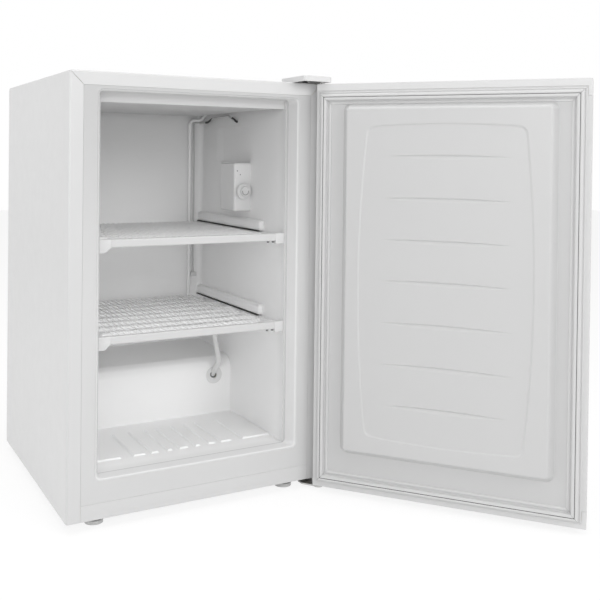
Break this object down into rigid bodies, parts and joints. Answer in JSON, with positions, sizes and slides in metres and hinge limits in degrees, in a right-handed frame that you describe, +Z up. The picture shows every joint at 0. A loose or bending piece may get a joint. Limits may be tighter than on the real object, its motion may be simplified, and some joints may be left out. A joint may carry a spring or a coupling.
{
  "type": "upright freezer",
  "caption": "Under-counter upright freezer with its door open: cooled wire-on-tube shelves, moulded liner, dial thermostat and screw feet.",
  "frame": {"origin": "on the floor, midway between the four feet, which is under the middle of the cabinet", "axes": "+X to the cabinet's right seen from the front, which is its hinge side; +Y from the front to the back; +Z up"},
  "size_m": [0.8865, 0.9573, 0.86],
  "materials": {
    "cabinet_enamel": "white enamel, smooth satin",
    "door_enamel": "white enamel, smooth satin",
    "galvanised_steel": "dull zinc",
    "insulating_foam": "rigid foam, matt",
    "liner_plastic": "moulded white, soft gloss",
    "trim_plastic": "moulded white, soft gloss",
    "knob_plastic": "moulded white, soft gloss",
    "bush_plastic": "natural nylon",
    "coated_tube": "white powder coat",
    "coated_wire": "white powder coat",
    "sleeve_foam": "soft foam sleeve",
    "white_rubber": "soft",
    "sensor_tube": "tinned",
    "black_enamel": "black enamel",
    "black_rubber": "soft",
    "black_plastic": "moulded",
    "condenser_tube": "coated steel",
    "copper": "drawn copper",
    "grey_plastic": "moulded grey",
    "zinc_steel": "zinc plated",
    "zinc_screws": "zinc plated",
    "gasket_vinyl": "soft white vinyl",
    "magnet_rubber": "flexible magnet"
  },
  "bodies": {
    "cabinet": {"outer_wrapper": "cabinet_enamel", "front_rail": "cabinet_enamel", "base_plate": "galvanised_steel", "compartment_deck": "galvanised_steel", "back_panel": "cabinet_enamel", "cabinet_foam": "insulating_foam", "inner_liner": "liner_plastic", "lower_shelf_coil": "coated_tube", "lower_shelf_wires": "coated_wire", "lower_shelf_trim": "trim_plastic", "lower_shelf_end_caps": "trim_plastic", "upper_shelf_coil": "coated_tube", "upper_shelf_wires": "coated_wire", "upper_shelf_trim": "trim_plastic", "upper_shelf_end_caps": "trim_plastic", "ceiling_coil": "coated_tube", "ceiling_cover": "trim_plastic", "corner_riser": "coated_tube", "left_riser": "coated_tube", "suction_sleeve": "sleeve_foam", "suction_grommet": "white_rubber", "thermostat_housing": "trim_plastic", "thermostat_body": "galvanised_steel", "thermostat_sensor_line": "sensor_tube", "sensor_clip": "trim_plastic", "compressor_plate": "galvanised_steel", "compressor_shell": "black_enamel", "compressor_bracket": "black_enamel", "compressor_grommets": "black_rubber", "compressor_bolts": "zinc_screws", "terminal_cover": "black_plastic", "cord_gland": "black_plastic", "condenser_coil_left": "condenser_tube", "condenser_coil_right": "condenser_tube", "discharge_tube": "copper", "crossover_tube": "condenser_tube", "drier_inlet_tube": "copper", "filter_drier": "copper", "capillary_tube": "copper", "suction_line": "copper", "foot_nuts": "zinc_steel", "rear_feet": "grey_plastic", "top_hinge": "zinc_steel", "top_hinge_screws": "zinc_screws", "hinge_cover": "trim_plastic", "bottom_hinge": "zinc_steel", "bottom_hinge_screws": "zinc_screws"},
    "thermostat_knob": {"thermostat_knob": "knob_plastic"},
    "left_foot_pad": {"left_foot_pad": "grey_plastic"},
    "left_foot_stud": {"left_foot_stud": "zinc_steel"},
    "right_foot_pad": {"right_foot_pad": "grey_plastic"},
    "right_foot_stud": {"right_foot_stud": "zinc_steel"},
    "door": {"door_panel": "door_enamel", "door_top_strip": "trim_plastic", "door_bottom_strip": "trim_plastic", "door_bushes": "bush_plastic", "door_foam": "insulating_foam", "door_liner": "liner_plastic", "door_gasket": "gasket_vinyl", "gasket_magnet": "magnet_rubber"}
  },
  "joints": [
    {"name": "door_hinge", "type": "hinge", "parent": "cabinet", "child": "door", "pos_m": [0.2577, -0.28265, 0.4], "axis": [0, 0, 1], "range_deg": [-129.4, 0]},
    {"name": "thermostat_turn", "type": "hinge", "parent": "cabinet", "child": "thermostat_knob", "pos_m": [0.179, -0.08, 0.615], "axis": [0, -1, 0], "range_deg": [-300, 0]},
    {"name": "left_foot_lift", "type": "slide", "parent": "cabinet", "child": "left_foot_pad", "axis": [0, 0, -1], "range_m": [0, 0.01]},
    {"name": "left_foot_turn", "type": "hinge", "parent": "left_foot_pad", "child": "left_foot_stud", "pos_m": [-0.205, -0.225, 0.01], "axis": [0, 0, -1], "range_deg": [0, 2870]},
    {"name": "right_foot_lift", "type": "slide", "parent": "cabinet", "child": "right_foot_pad", "axis": [0, 0, -1], "range_m": [0, 0.01]},
    {"name": "right_foot_turn", "type": "hinge", "parent": "right_foot_pad", "child": "right_foot_stud", "pos_m": [0.205, -0.225, 0.01], "axis": [0, 0, -1], "range_deg": [0, 2870]}
  ],
  "couplings": [
    {"joint": "left_foot_lift", "follows": "left_foot_turn", "m_per_rad": 0.00019894},
    {"joint": "right_foot_lift", "follows": "right_foot_turn", "m_per_rad": 0.00019894}
  ]
}
